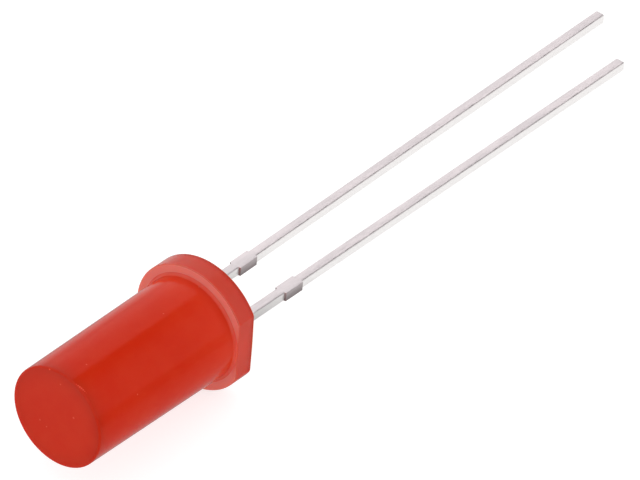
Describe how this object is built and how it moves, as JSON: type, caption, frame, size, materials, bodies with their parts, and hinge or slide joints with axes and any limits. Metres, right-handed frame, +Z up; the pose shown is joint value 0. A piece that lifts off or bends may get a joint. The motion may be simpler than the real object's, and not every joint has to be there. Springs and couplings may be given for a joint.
{
  "type": "through hole led",
  "caption": "Flat-topped through-hole LED of red diffused epoxy, with a flange, a cathode flat and straight tinned leads of unequal length for soldering into a board.",
  "frame": {"origin": "middle of the flange's rear face, on the LED's own axis, where the leads come out", "axes": "the LED lies as it comes to rest, on the rear edge of its flange and the tip of its longer lead: +X points to the cathode, +Y along the floor towards the lead tips, +Z up"},
  "size_m": [0.0056, 0.0387, 0.0063],
  "materials": {
    "red_epoxy": "gloss",
    "tinned_steel": "satin",
    "silver_adhesive": "matte",
    "chip": "satin",
    "gold_wire": "polished"
  },
  "bodies": {
    "root": {"epoxy_body": "red_epoxy", "anode_lead": "tinned_steel", "cathode_lead": "tinned_steel", "die_attach": "silver_adhesive", "led_die": "chip", "bond_wire": "gold_wire"}
  },
  "joints": []
}
